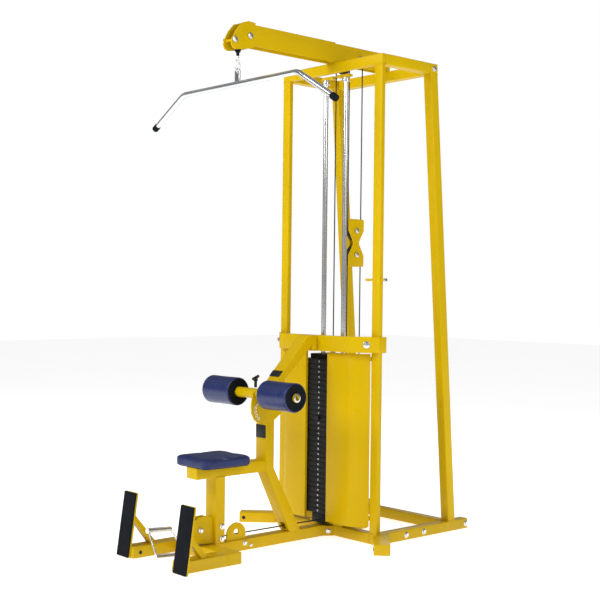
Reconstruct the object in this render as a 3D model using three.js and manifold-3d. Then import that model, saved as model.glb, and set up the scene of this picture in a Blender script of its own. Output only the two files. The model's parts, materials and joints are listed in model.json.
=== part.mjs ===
// Lat pulldown and low row machine. Millimetres, +Z up, the user's side faces -Y.
import * as THREE from "three";
import * as BufferGeometryUtils from "three/addons/utils/BufferGeometryUtils.js";
import Module from "manifold-3d";

const wasm = await Module();
wasm.setup();

// ---- driving dimensions ----
const GAP = 0.3;
const FRAME_TOP = 2300;
const TUBE_H = 50;
const UP_OUT = 350;
const UP_W = 50;
const UP_Y0 = -17;
const UP_Y1 = 8;
const PEG = { r: 6, inner: 250, outer: 380, y: -5, z: 1242 };
const TOP_REAR = 373;
const TUBE_D = 50;
const BASE_REAR = 640;
const LEG_FOOT = 543;
const TUBE_W = 75;
const HALF_W = TUBE_W / 2;
const CABLE_R = 3;
const WRAP_R = 45;
const PULLEY_R = 47.5;
const PULLEY_HALF = 9;
const STEM_Y = 22;
const ARM_A = { y: STEM_Y + WRAP_R, z: 2304 };
const BLOCK_Y = ARM_A.y + 2 * WRAP_R;
const ARM_B = { y: BLOCK_Y, z: 2343 };
const HEAD = { y: -552, z: 2343 };
const BAR_Y = HEAD.y - WRAP_R;
const BLOCK_UP_Z = 1489;
const BLOCK_LOW_Z = 1369;
const LOW_Z = 75;
const LOW_REAR = { y: BLOCK_Y, z: LOW_Z + WRAP_R };
const LOW_FRONT = { y: -795, z: LOW_Z + WRAP_R };
const ROW_RISE = 4 * Math.PI / 180;
const ROD_X = 70;
const ROD_R = 12;
const PITCH = 25;
const STACK_Z = 107.5;
const PLATES = 30;
const FREE_PLATES = 18;
const STACK_X = 130;
const STACK_Y0 = -70;
const STACK_Y1 = 96;
const CROSS_Z0 = 900;
const CROSS_Z1 = 975;
const POST_Y0 = -434;
const POST_Y1 = -384;
const SEAT_Z = 350;
const CROSS_FOOT = { x: 220, y0: -797, y1: -721 };
const RAIL_X = [145, CROSS_FOOT.x];
const BRACE_X = [172, 207];
const PLATE_X = [168, 260];
const PAD = { x: 125, y0: -852, y1: -570, depth: 42, corner: 38 };
const BAR = { z: 2122, r: 12.5 };
const AXLE = { y: -488, z: 712 };
const PIVOT = { y: -409, z: 655 };
const ROLLER_R = 66;

// ---- materials ----
const paint = () => new THREE.MeshStandardMaterial({ color: 0xd2a400, roughness: 0.35, metalness: 0 });
const navy = () => new THREE.MeshStandardMaterial({ color: 0x1b2450, roughness: 0.5, metalness: 0 });
const black = () => new THREE.MeshStandardMaterial({ color: 0x14171a, roughness: 0.6, metalness: 0 });
const chrome = () => new THREE.MeshStandardMaterial({ color: 0xc8ccd0, roughness: 0.15, metalness: 1 });

// ---- solids ----
const group = new THREE.Group();

function toSolid(geometry) {
  const g = geometry.clone();
  g.deleteAttribute("normal");
  g.deleteAttribute("uv");
  const m = BufferGeometryUtils.mergeVertices(g, 1e-4);
  const mesh = new wasm.Mesh({
    numProp: 3,
    vertProperties: new Float32Array(m.attributes.position.array),
    triVerts: new Uint32Array(m.index.array),
  });
  return new wasm.Manifold(mesh);
}

function box(x0, x1, y0, y1, z0, z1) {
  const g = new THREE.BoxGeometry(x1 - x0, y1 - y0, z1 - z0);
  g.translate((x0 + x1) / 2, (y0 + y1) / 2, (z0 + z1) / 2);
  return toSolid(g);
}

// prism whose outline is drawn in Y and Z and runs along X
function prismX(points, x0, x1) {
  const shape = new THREE.Shape(points.map((p) => new THREE.Vector2(p[0], p[1])));
  const g = new THREE.ExtrudeGeometry(shape, { depth: x1 - x0, bevelEnabled: false, curveSegments: 10 });
  g.applyMatrix4(new THREE.Matrix4().set(0, 0, 1, x0, 1, 0, 0, 0, 0, 1, 0, 0, 0, 0, 0, 1));
  return toSolid(g);
}

// prism whose outline is drawn in X and Y and runs up Z
function prismZ(points, z0, z1) {
  const shape = new THREE.Shape(points.map((p) => new THREE.Vector2(p[0], p[1])));
  const g = new THREE.ExtrudeGeometry(shape, { depth: z1 - z0, bevelEnabled: false });
  g.translate(0, 0, z0);
  return toSolid(g);
}

function cyl(axis, r, a, b, p, q, seg = 28) {
  const g = new THREE.CylinderGeometry(r, r, b - a, seg);
  const m = (a + b) / 2;
  if (axis === "x") {
    g.rotateZ(Math.PI / 2);
    g.translate(m, p, q);
  } else if (axis === "y") {
    g.translate(p, m, q);
  } else {
    g.rotateX(Math.PI / 2);
    g.translate(p, q, m);
  }
  return toSolid(g);
}

function ball(r, x, y, z) {
  const g = new THREE.SphereGeometry(r, 20, 14);
  g.translate(x, y, z);
  return toSolid(g);
}

// round bar along a path of points
function rod(points, r, steps, seg = 8) {
  const v = points.map((p) => new THREE.Vector3(...p));
  const curve = new THREE.CurvePath();
  for (let i = 1; i < v.length; i += 1) {
    curve.add(new THREE.LineCurve3(v[i - 1], v[i]));
  }
  const ring = new THREE.Shape();
  ring.absarc(0, 0, r, 0, Math.PI * 2, false);
  const g = new THREE.ExtrudeGeometry(ring, { steps, extrudePath: curve, curveSegments: seg });
  return toSolid(g);
}

// points of an arc in the YZ plane, angles measured from +Y towards +Z
function arc(c, r, a0, a1, n) {
  const out = [];
  for (let i = 0; i <= n; i += 1) {
    const a = a0 + (a1 - a0) * i / n;
    out.push([0, c.y + r * Math.cos(a), c.z + r * Math.sin(a)]);
  }
  return out;
}

const join = (list) => wasm.Manifold.union(list);
const mirrored = (points, s) => {
  const out = points.map((p) => [p[0] * s, p[1]]);
  return s < 0 ? out.reverse() : out;
};

function add(name, solid, material) {
  const m = solid.getMesh();
  const count = m.vertProperties.length / m.numProp;
  const pos = new Float32Array(count * 3);
  for (let i = 0; i < count; i += 1) {
    pos[3 * i] = m.vertProperties[m.numProp * i];
    pos[3 * i + 1] = m.vertProperties[m.numProp * i + 1];
    pos[3 * i + 2] = m.vertProperties[m.numProp * i + 2];
  }
  const g = new THREE.BufferGeometry();
  g.setAttribute("position", new THREE.BufferAttribute(pos, 3));
  g.setIndex(new THREE.BufferAttribute(new Uint32Array(m.triVerts), 1));
  g.computeVertexNormals();
  const mesh = new THREE.Mesh(g, material);
  mesh.material.flatShading = true;
  mesh.name = name;
  group.add(mesh);
}

// ---- main frame ----
function buildFrame() {
  const z0 = TUBE_H + GAP;
  const z1 = FRAME_TOP - TUBE_H - GAP;
  for (const [side, s] of [["left", -1], ["right", 1]]) {
    const xs = [s * (UP_OUT - UP_W), s * UP_OUT].sort((a, b) => a - b);
    const upright = [box(xs[0], xs[1], UP_Y0, UP_Y1, z0, z1)];
    if (s > 0) upright.push(cyl("x", PEG.r, PEG.inner, PEG.outer, PEG.y, PEG.z, 16));
    add(`upright_${side}`, join(upright), paint());
    const rail = box(xs[0], xs[1], UP_Y1 + GAP, TOP_REAR - TUBE_D - GAP, FRAME_TOP - TUBE_H, FRAME_TOP);
    add(`top_rail_${side}`, rail, paint());
    const leg = [[TOP_REAR - TUBE_D, z1], [LEG_FOOT - TUBE_D, z0], [LEG_FOOT, z0], [TOP_REAR, z1]];
    add(`rear_leg_${side}`, prismX(leg, xs[0], xs[1]), paint());
    add(`base_side_${side}`, box(xs[0], xs[1], UP_Y0, BASE_REAR, 0, TUBE_H), paint());
    const foot = [[UP_OUT + GAP, -39.5], [480.3, -169.5], [533.3, -116.5], [UP_OUT + GAP, 66.5]];
    add(`foot_${side}`, prismZ(mirrored(foot, s), 0, TUBE_H), paint());
  }
  const top = FRAME_TOP - TUBE_H;
  add("top_front_tube", box(-UP_OUT, UP_OUT, UP_Y0, UP_Y1, top, FRAME_TOP), paint());
  add("top_rear_tube", box(-UP_OUT, UP_OUT, TOP_REAR - TUBE_D, TOP_REAR, top, FRAME_TOP), paint());
  const inner = UP_OUT - UP_W - GAP;
  const spine = box(-HALF_W, HALF_W, 32, 240, 0, TUBE_H);
  add("base_front_tube", join([box(-inner, inner, UP_Y0, 33, 0, TUBE_H), spine]), paint());
  add("base_rear_tube", box(-inner, inner, LEG_FOOT - TUBE_D, LEG_FOOT, 0, TUBE_H), paint());
}

// bowed crossbar with brackets that reach back to the uprights
function buildCrossbar() {
  const plan = [[238, -118], [356, -20], [356, 28], [350.3, 28], [350.3, UP_Y0 - GAP],
    [292, UP_Y0 - GAP], [236, -90]];
  const parts = [box(-240, 240, -118, -90, CROSS_Z0, CROSS_Z1)];
  for (const s of [-1, 1]) {
    parts.push(prismZ(mirrored(plan, s), CROSS_Z0, CROSS_Z1));
  }
  add("mid_crossbar", join(parts), paint());
}

// arm with a pair of rounded head plates and rear cheek plates
function buildArm() {
  const z0 = FRAME_TOP + GAP;
  const z1 = 2397;
  const outer = box(-30, 30, -560, -14, z0, z1);
  const inner = box(-26, 26, -600, 0, z0 - 5, z1 - 4);
  const beam = outer.subtract(inner);
  const cheek = [[-60, z0], [TOP_REAR, z0], [TOP_REAR, 2330], [330, z1 - 4], [-60, z1 - 4]];
  const head = [[-520, 2406], [-561, 2409], [-600, 2396], [-632, 2360], [-655, 2318], [-660, 2296],
    [-650, 2277], [-636, 2271], [-600, 2276], [-560, 2285], [-520, 2297]];
  const parts = [beam];
  for (const s of [-1, 1]) {
    const a = s > 0 ? 21 : -26.5;
    parts.push(prismX(cheek, a, a + 5.5));
    const h = s > 0 ? 25.5 : -32;
    parts.push(prismX(head, h, h + 6.5));
  }
  for (const [y, z] of [[-641, 2314], [ARM_A.y, ARM_A.z], [ARM_B.y, ARM_B.z], [HEAD.y, HEAD.z]]) {
    parts.push(cyl("x", 6, -36, 36, y, z, 18));
  }
  parts.push(box(-22, 22, 320, 340, z0, z1 - 4));
  parts.push(box(-22, 22, -14, 4, z0, 2318));
  add("arm", join(parts), paint());
}

// bent mast, seat frame and base spine
function buildSeatFrame() {
  const zTop = CROSS_Z1;
  const outer = [[-118 - GAP, zTop], [-178, zTop], [POST_Y0, 700], [POST_Y0, SEAT_Z + 10],
    [-280, TUBE_H + GAP], [-215, TUBE_H + GAP], [POST_Y1, SEAT_Z + 12], [POST_Y1, 583], [-322, 628],
    [-322, 768], [-150, 928], [-150, CROSS_Z0], [-118 - GAP, CROSS_Z0]].reverse();
  const cut = box(-14, 14, -330, -180, 58, 92);
  const stud = cyl("x", 8.6, -50, 50, PIVOT.y, PIVOT.z, 20);
  add("mast", join([prismX(outer, -HALF_W, HALF_W).subtract(cut), stud]), paint());
  const beam = box(-HALF_W, HALF_W, -830, POST_Y0 - GAP, SEAT_Z, SEAT_Z + 50);
  const post = box(-HALF_W, HALF_W, -722, -672, TUBE_H - 1, SEAT_Z + 1);
  const slot = box(-14, 14, -730, -660, 58, 92);
  const hood = [[-722, 168], [-760, 180], [-800, 178], [-832, 160], [-845, 120], [-835, 85], [-800, 66],
    [-770, 56], [-722, 56]];
  const parts = [beam, post.subtract(slot), cyl("x", 6, -24, 24, LOW_FRONT.y, LOW_FRONT.z, 18)];
  parts.push(prismX(hood, 14, 19));
  parts.push(prismX(hood, -19, -14));
  parts.push(box(-19, 19, -724, -721, 100, 168));
  parts.push(box(-CROSS_FOOT.x, CROSS_FOOT.x, CROSS_FOOT.y0, CROSS_FOOT.y1, 0, TUBE_H));
  parts.push(box(-HALF_W, HALF_W, CROSS_FOOT.y1 - 1, -672.3, 0, TUBE_H));
  add("seat_frame", join(parts), paint());
  const tube = box(-30, 30, -672, UP_Y0 - GAP, 0, TUBE_H);
  const flange = prismZ([[-60, UP_Y0 - GAP], [-30, -60], [30, -60], [60, UP_Y0 - GAP]], 0, 48);
  const eye = [];
  for (let i = 0; i <= 16; i += 1) {
    const a = Math.PI * i / 16;
    eye.push([-590 + 55 * Math.cos(a), 78 + 52 * Math.sin(a)]);
  }
  eye.push([-645, 40]);
  eye.push([-535, 40]);
  const disc = prismX(eye, 12, 19).subtract(cyl("x", 14, 0, 30, -590, 88, 20));
  add("base_spine", join([tube, flange, disc]), paint());
}

// foot rails with braced plates and grip pads, one on each side
function buildFeet() {
  for (const [side, s] of [["left", -1], ["right", 1]]) {
    const onSide = (pair) => pair.map((x) => s * x).sort((a, b) => a - b);
    const [xs, bs, ps] = [RAIL_X, BRACE_X, PLATE_X].map(onSide);
    const rear = CROSS_FOOT.y0 - GAP;
    const rail = prismX([[-1037, 1], [rear, 0], [rear, TUBE_H], [-1032, TUBE_H]], xs[0], xs[1]);
    const brace = prismX([[-1014, 192], [-1017, 165], [-925, 48], [-892, 48]], bs[0], bs[1]);
    const back = prismX([[-1044, 2], [-1036, 2], [-996, 282], [-1004, 282]], ps[0], ps[1]);
    add(`foot_rail_${side}`, join([rail, brace, back]), paint());
    const pad = prismX([[-1050, 2], [-1044.3, 2], [-1004.3, 282], [-1010, 282]], ps[0], ps[1]);
    add(`foot_grip_${side}`, pad, black());
  }
}

function buildSeatPad() {
  const shape = new THREE.Shape();
  const { x, y0, y1, corner: r } = PAD;
  shape.moveTo(-x + r, y0);
  shape.lineTo(x - r, y0);
  shape.quadraticCurveTo(x, y0, x, y0 + r);
  shape.lineTo(x, y1 - r);
  shape.quadraticCurveTo(x, y1, x - r, y1);
  shape.lineTo(-x + r, y1);
  shape.quadraticCurveTo(-x, y1, -x, y1 - r);
  shape.lineTo(-x, y0 + r);
  shape.quadraticCurveTo(-x, y0, -x + r, y0);
  const g = new THREE.ExtrudeGeometry(shape, { depth: PAD.depth, bevelEnabled: false, curveSegments: 6 });
  g.translate(0, 0, SEAT_Z + 50 + GAP);
  add("seat_pad", toSolid(g), navy());
}

// bowed sheet covers with a slot between them
function buildShroud() {
  const path = [[75, -74], [75, -88], [215, -88], [238, -82], [254, -66], [300 - 4, -16]];
  const back = [[300 - 8, -16], [250, -64], [236, -79], [214, -85], [78, -85], [78, -74]];
  for (const [side, s] of [["left", -1], ["right", 1]]) {
    const sheet = prismZ(mirrored([...path, ...back], s), 80, 894);
    const tabPlan = mirrored([[286, -20], [299.7, -20], [299.7, 2], [290, 2]], s);
    const tabs = [110, 860].map((z) => prismZ(tabPlan, z, z + 20));
    add(`shroud_${side}`, join([sheet, ...tabs]), paint());
  }
}

function plateStack(first, count, holes) {
  const parts = [];
  for (let i = first; i < first + count; i += 1) {
    const z = STACK_Z + i * PITCH;
    parts.push(box(-STACK_X, STACK_X, STACK_Y0, STACK_Y1, z + 0.5, z + PITCH - 0.5));
  }
  const zA = STACK_Z + first * PITCH + 1;
  const zB = STACK_Z + (first + count) * PITCH - 1;
  parts.push(box(-STACK_X + 3, STACK_X - 3, STACK_Y0 + 3, STACK_Y1 - 3, zA, zB));
  let solid = join(parts);
  for (const x of [-ROD_X, ROD_X]) {
    solid = solid.subtract(cyl("z", ROD_R + 1.5, zA - 50, zB + 50, x, STEM_Y, 20));
  }
  solid = solid.subtract(cyl("z", holes, zA - 50, zB + 50, 0, STEM_Y, 20));
  return solid;
}

function buildStack() {
  const rods = [];
  for (const x of [-ROD_X, ROD_X]) {
    rods.push(cyl("z", ROD_R, 55, FRAME_TOP - TUBE_H - 12, x, STEM_Y, 20));
    rods.push(cyl("z", 24, 60, STACK_Z - GAP, x, STEM_Y, 24));
  }
  rods.push(box(-115, 115, -16, 90, TUBE_H + GAP, 61));
  rods.push(box(-95, 95, UP_Y1 + GAP, STEM_Y + 20, FRAME_TOP - TUBE_H - 20, FRAME_TOP - TUBE_H - 8)
    .subtract(cyl("z", 9, 2200, 2300, 0, STEM_Y, 20)));
  add("guide_rods", join(rods), chrome());
  add("stack_lower", plateStack(0, FREE_PLATES, 12), black());
  const pinZ = STACK_Z + (FREE_PLATES + 0.5) * PITCH;
  const pinHole = cyl("y", 6, STACK_Y0 - 20, STEM_Y, 0, pinZ, 16);
  add("stack_upper", plateStack(FREE_PLATES, PLATES - FREE_PLATES, 11.3).subtract(pinHole), black());
  const top = STACK_Z + PLATES * PITCH;
  const stem = join([
    cyl("z", 11, STACK_Z + 4, top + 60, 0, STEM_Y, 20),
    box(-95, 95, -40, 84, top, top + 24).subtract(cyl("z", ROD_R + 1.5, 800, 1000, ROD_X, STEM_Y, 20))
      .subtract(cyl("z", ROD_R + 1.5, 800, 1000, -ROD_X, STEM_Y, 20)),
  ]);
  add("stack_stem", stem.subtract(cyl("y", 6, STEM_Y - 30, STEM_Y + 30, 0, pinZ, 16)), chrome());
  const pin = join([
    cyl("y", 5, STACK_Y0 - 8, STEM_Y + 8, 0, pinZ, 16),
    cyl("y", 12, STACK_Y0 - 14, STACK_Y0 - 1, 0, pinZ, 20),
  ]);
  add("selector_pin", pin, black());
}

// grooved wheel with its axle hole, turning about X
function pulley(name, c) {
  const bore = 7;
  const groove = WRAP_R - CABLE_R - 0.5;
  const section = [[bore, -PULLEY_HALF], [PULLEY_R, -PULLEY_HALF], [PULLEY_R, -5], [groove, -2.5],
    [groove, 2.5], [PULLEY_R, 5], [PULLEY_R, PULLEY_HALF], [bore, PULLEY_HALF], [bore, -PULLEY_HALF]];
  const g = new THREE.LatheGeometry(section.map((p) => new THREE.Vector2(p[0], p[1])), 28);
  g.rotateZ(-Math.PI / 2);
  g.translate(0, c.y, c.z);
  add(name, toSolid(g), black());
}

function buildPulleys() {
  pulley("pulley_head", HEAD);
  pulley("pulley_arm_front", ARM_A);
  pulley("pulley_arm_rear", ARM_B);
  pulley("pulley_block_upper", { y: BLOCK_Y, z: BLOCK_UP_Z });
  pulley("pulley_block_lower", { y: BLOCK_Y, z: BLOCK_LOW_Z });
  pulley("pulley_low_rear", LOW_REAR);
  pulley("pulley_low_front", LOW_FRONT);
}

function buildBlock() {
  const mid = (BLOCK_UP_Z + BLOCK_LOW_Z) / 2;
  const side = [[-48, 118], [48, 118], [52, 108], [52, 62], [20, 6], [20, -6], [52, -62], [52, -108],
    [48, -118], [-48, -118], [-52, -108], [-52, -62], [-20, -6], [-20, 6], [-52, 62], [-52, 108]]
    .map((p) => [BLOCK_Y + p[0], mid + p[1]]).reverse();
  const parts = [prismX(side, 12, 17), prismX(side, -17, -12)];
  for (const z of [BLOCK_UP_Z, BLOCK_LOW_Z]) {
    parts.push(cyl("x", 6, -22, 22, BLOCK_Y, z, 18));
  }
  add("block_plates", join(parts), paint());
  const cheek = [[105, 51], [215, 51], [215, 150], [190, 178], [136, 206], [104, 206]];
  const low = [prismX(cheek.reverse(), 12, 17), prismX(cheek, -17, -12)];
  low.push(cyl("x", 6, -22, 22, LOW_REAR.y, LOW_REAR.z, 18));
  low.push(box(-17, 17, 105, 119, 190, 205));
  add("low_bracket", join(low), paint());
}

// ---- cables ----
function buildCables() {
  const up = Math.PI / 2;
  const bend = (points, steps) => rod(points, CABLE_R, steps, 4);
  const run = (y0, y1, z) => cyl("y", CABLE_R, y0 - 1, y1 + 1, 0, z, 8);
  const span = (name, y, a, b) => add(name, cyl("z", CABLE_R, a, b, 0, y, 8), black());
  const over = [bend(arc(HEAD, WRAP_R, Math.PI, up, 10), 10), bend(arc(ARM_B, WRAP_R, up, 0, 10), 10)];
  add("cable_arm", join([...over, run(HEAD.y, ARM_B.y, HEAD.z + WRAP_R)]), black());
  add("cable_arm_wrap", bend(arc(ARM_A, WRAP_R, Math.PI, 0, 18), 18), black());
  span("cable_bar", BAR_Y, 2289.3, HEAD.z - GAP);
  const top = STACK_Z + PLATES * PITCH;
  span("cable_stem", STEM_Y, top + 60 + GAP, ARM_A.z - GAP);
  span("cable_block_front", BLOCK_Y - WRAP_R, BLOCK_UP_Z + GAP, ARM_A.z - GAP);
  span("cable_block_rear", BLOCK_Y + WRAP_R, BLOCK_UP_Z + GAP, ARM_B.z - GAP);
  const upper = arc({ y: BLOCK_Y, z: BLOCK_UP_Z }, WRAP_R, -Math.PI, 0, 18);
  add("cable_loop_upper", bend(upper, 18), black());
  const lower = arc({ y: BLOCK_Y, z: BLOCK_LOW_Z }, WRAP_R, Math.PI, 0, 18);
  add("cable_loop_lower", bend(lower, 18), black());
  span("cable_low_front", BLOCK_Y - WRAP_R, 205 + GAP, BLOCK_LOW_Z - GAP);
  span("cable_low_rear", BLOCK_Y + WRAP_R, LOW_REAR.z + GAP, BLOCK_LOW_Z - GAP);
  const leave = -up - ROW_RISE;
  const under = [bend(arc(LOW_REAR, WRAP_R, 0, -up, 10), 10), bend(arc(LOW_FRONT, WRAP_R, -up, leave, 4), 4)];
  add("cable_low_run", join([...under, run(LOW_FRONT.y, LOW_REAR.y, LOW_Z)]), black());
}

// ---- bar, handle, thigh pad ----
function buildBar() {
  add("cable_stop", join([ball(14, 0, BAR_Y, 2275), cyl("z", 7, 2250, 2272, 0, BAR_Y, 16)]), black());
  const ring = new THREE.TorusGeometry(20, 4.5, 10, 28);
  ring.rotateY(Math.PI / 2);
  ring.scale(1, 0.7, 1.35);
  ring.translate(0, BAR_Y, 2205);
  add("snap_hook", join([cyl("z", 8, 2230, 2249.5, 0, BAR_Y, 16), toSolid(ring)]), chrome());
  const bar = [[-648, BAR_Y, 1982], [-420, BAR_Y, 2118], [-404, BAR_Y, BAR.z], [404, BAR_Y, BAR.z],
    [420, BAR_Y, 2118], [648, BAR_Y, 1982]];
  const parts = [rod(bar, BAR.r, 40, 8)];
  for (const s of [-1, 1]) {
    const cap = rod([[s * 626, BAR_Y, 1995.1], [s * 654, BAR_Y, 1978.4]], 16, 1, 8);
    parts.push(cap);
  }
  const eye = [[BAR_Y - 4, 2130], [BAR_Y + 4, 2130], [BAR_Y + 4, 2196], [BAR_Y - 4, 2196]];
  const tab = prismX(eye, -17, 17).subtract(cyl("y", 9, BAR_Y - 20, BAR_Y + 20, 0, 2177.5, 20));
  parts.push(tab);
  add("lat_bar", join(parts), chrome());
}

function buildRoller() {
  for (const [side, s] of [["left", -1], ["right", 1]]) {
    const xs = [s * 104, s * 300].sort((a, b) => a - b);
    const foam = cyl("x", ROLLER_R, xs[0], xs[1], AXLE.y, AXLE.z, 40)
      .subtract(cyl("x", 13.5, xs[0] - 5, xs[1] + 5, AXLE.y, AXLE.z, 24));
    add(`roller_${side}`, foam, navy());
  }
  const sector = [[-500, 735], [-522, 712], [-530, 660], [-528, 626], [-512, 594], [-484, 574], [-451, 568],
    [-420, 576], [-396, 592], [-386, 620], [-386, 668], [-420, 700], [-462, 738]];
  const plate = prismX(sector, HALF_W + 1, HALF_W + 9).subtract(cyl("x", 9, -80, 80, PIVOT.y, PIVOT.z, 20));
  const parts = [cyl("x", 13, -312, 312, AXLE.y, AXLE.z, 24), cyl("x", 24, -100, 100, AXLE.y, AXLE.z, 28), plate];
  for (const x of [-309, 301]) parts.push(cyl("x", 20, x, x + 8, AXLE.y, AXLE.z, 20));
  add("roller_arm", join(parts), paint());
}

function buildPullPin() {
  const y = -470;
  const parts = [cyl("z", 7, AXLE.z + 26, 768, 0, y, 16)];
  parts.push(cyl("z", 15, 768, 792, 0, y, 20));
  add("adjust_knob", join(parts), black());
}

function buildHandle() {
  const c = Math.cos(ROW_RISE);
  const n = Math.sin(ROW_RISE);
  const start = [0, LOW_FRONT.y - WRAP_R * n, LOW_FRONT.z - WRAP_R * c];
  const at = (d, x, h) => [x, start[1] - c * d - n * h, start[2] + n * d - c * h];
  add("cable_row", rod([at(GAP, 0, 0), at(58, 0, 0)], CABLE_R, 1, 4), black());
  const hook = [rod([at(58.5, 0, 0), at(104, 0, 0)], 6.5, 1, 6)];
  const grip = { x: 37, below: 50, from: 112, to: 245 };
  const yoke = [at(104, 0, 0), at(122, -grip.x, -grip.below), at(122, grip.x, grip.below)];
  hook.push(rod([yoke[0], yoke[1]], 5, 1, 5));
  hook.push(rod([yoke[0], yoke[2]], 5, 1, 5));
  hook.push(ball(8, ...yoke[0]));
  for (const s of [-1, 1]) {
    const ends = [grip.from, grip.to].map((d) => at(d, s * grip.x, s * grip.below));
    hook.push(rod(ends, 13, 1, 8));
  }
  hook.push(rod([at(237, -grip.x, -grip.below), at(237, grip.x, grip.below)], 4, 1, 5));
  add("row_handle", join(hook), chrome());
}

buildFrame();
buildCrossbar();
buildArm();
buildSeatFrame();
buildFeet();
buildSeatPad();
buildShroud();
buildStack();
buildPulleys();
buildBlock();
buildCables();
buildBar();
buildRoller();
buildPullPin();
buildHandle();

// origin at the centre of the footprint, on the floor
const bounds = new THREE.Box3().setFromObject(group);
const shiftY = -(bounds.min.y + bounds.max.y) / 2;
group.children.forEach((m) => m.geometry.translate(0, shiftY, 0));

export default group;
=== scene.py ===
"""Looks of the lat pulldown and low row machine, in metres, in the CAD part's own frame."""
import json
import math

import bmesh
import bpy
from mathutils import Matrix, Vector


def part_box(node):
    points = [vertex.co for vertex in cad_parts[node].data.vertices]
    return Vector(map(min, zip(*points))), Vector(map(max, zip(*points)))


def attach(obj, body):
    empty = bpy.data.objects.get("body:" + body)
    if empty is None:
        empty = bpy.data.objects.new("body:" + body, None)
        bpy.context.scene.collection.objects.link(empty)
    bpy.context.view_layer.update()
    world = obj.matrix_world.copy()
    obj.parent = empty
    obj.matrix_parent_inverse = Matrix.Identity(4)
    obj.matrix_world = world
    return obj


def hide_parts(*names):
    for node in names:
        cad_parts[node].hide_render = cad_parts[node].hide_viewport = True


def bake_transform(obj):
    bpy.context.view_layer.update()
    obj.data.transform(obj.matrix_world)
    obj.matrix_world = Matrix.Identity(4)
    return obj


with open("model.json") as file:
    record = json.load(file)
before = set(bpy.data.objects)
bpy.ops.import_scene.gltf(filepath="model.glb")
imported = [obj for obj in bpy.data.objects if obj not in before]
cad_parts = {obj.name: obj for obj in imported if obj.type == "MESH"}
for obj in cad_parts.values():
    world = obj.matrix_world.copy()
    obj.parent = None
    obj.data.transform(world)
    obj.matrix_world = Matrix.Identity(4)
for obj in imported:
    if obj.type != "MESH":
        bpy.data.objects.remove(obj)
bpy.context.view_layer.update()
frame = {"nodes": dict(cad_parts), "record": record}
RECORD = frame["record"]
SLOT_OF = {part["node"]: part["material_slot"] for part in RECORD["subparts"]}
BODIES = RECORD["behaviour"]["bodies"]
BODY_OF = {node: body for body, nodes in BODIES.items() for node in nodes}

# ---- driving values ----
WRAP_R = 0.045
CABLE_R = 0.003
ROW_RISE = math.radians(4)
BAR_R = 0.0125
PITCH = 0.025
BOLT_R = 0.0095
WASHER = 0.0022
ROD_X = 0.07
WIDE_TUBE = 0.0375
SIDES = {"left": -1, "right": 1}
X, Y, Z = Vector((1, 0, 0)), Vector((0, 1, 0)), Vector((0, 0, 1))

# ---- camera, at the viewing angle of the reference ----
CAMERA_PLACE = (4.0319, -3.6128, 1.1767)
CAMERA_YAW, CAMERA_PITCH, CAMERA_ROLL = 48.1007, 0.3567, 0.6621
CAMERA_LENS = 67.98


def make_camera():
    yaw, pitch, roll = (math.radians(a) for a in (CAMERA_YAW, CAMERA_PITCH, CAMERA_ROLL))
    side = Vector((math.cos(yaw), math.sin(yaw), 0))
    ahead = Vector((-math.sin(yaw) * math.cos(pitch), math.cos(yaw) * math.cos(pitch), -math.sin(pitch)))
    head = side.cross(ahead)
    right = math.cos(roll) * side + math.sin(roll) * head
    up = -math.sin(roll) * side + math.cos(roll) * head
    data = bpy.data.cameras.new("camera")
    data.sensor_width = 36
    data.lens = CAMERA_LENS
    data.clip_end = 60
    camera = bpy.data.objects.new("camera", data)
    bpy.context.collection.objects.link(camera)
    turn = Matrix((right, up, -ahead)).transposed().to_4x4()
    camera.matrix_world = Matrix.Translation(CAMERA_PLACE) @ turn
    bpy.context.scene.camera = camera


# ---- materials ----
def shader(name, colour, rough, metal=0.0, **inputs):
    material = bpy.data.materials.new(name)
    material.use_nodes = True
    principled = material.node_tree.nodes["Principled BSDF"]
    principled.inputs["Base Color"].default_value = (*colour, 1)
    principled.inputs["Roughness"].default_value = rough
    principled.inputs["Metallic"].default_value = metal
    for key, value in inputs.items():
        principled.inputs[key.replace("_", " ")].default_value = value
    coords = material.node_tree.nodes.new("ShaderNodeTexCoord")
    return material, material.node_tree, principled, coords.outputs["Object"]


def noise(tree, place, scale, detail=4.0, stretch=(1, 1, 1)):
    mapping = tree.nodes.new("ShaderNodeMapping")
    mapping.inputs["Scale"].default_value = stretch
    tree.links.new(place, mapping.inputs["Vector"])
    node = tree.nodes.new("ShaderNodeTexNoise")
    node.inputs["Scale"].default_value = scale
    node.inputs["Detail"].default_value = detail
    tree.links.new(mapping.outputs["Vector"], node.inputs["Vector"])
    return node.outputs["Fac"]


def ramp(tree, value, stops):
    node = tree.nodes.new("ShaderNodeValToRGB")
    elements = node.color_ramp.elements
    while len(elements) < len(stops):
        elements.new(0.5)
    for element, (position, colour) in zip(elements, stops):
        element.position = position
        element.color = (*colour, 1)
    tree.links.new(value, node.inputs["Fac"])
    return node.outputs["Color"]


def grey_ramp(tree, value, low, high, start=0.3, end=0.7):
    return ramp(tree, value, [(start, (low,) * 3), (end, (high,) * 3)])


def bump(tree, principled, height, distance, strength=1.0):
    node = tree.nodes.new("ShaderNodeBump")
    node.inputs["Distance"].default_value = distance
    node.inputs["Strength"].default_value = strength
    tree.links.new(height, node.inputs["Height"])
    tree.links.new(node.outputs["Normal"], principled.inputs["Normal"])


def mix(tree, share, a, b):
    node = tree.nodes.new("ShaderNodeMix")
    node.data_type = "RGBA"
    tree.links.new(share, node.inputs["Factor"])
    tree.links.new(a, node.inputs["A"])
    tree.links.new(b, node.inputs["B"])
    return node.outputs["Result"]


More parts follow.
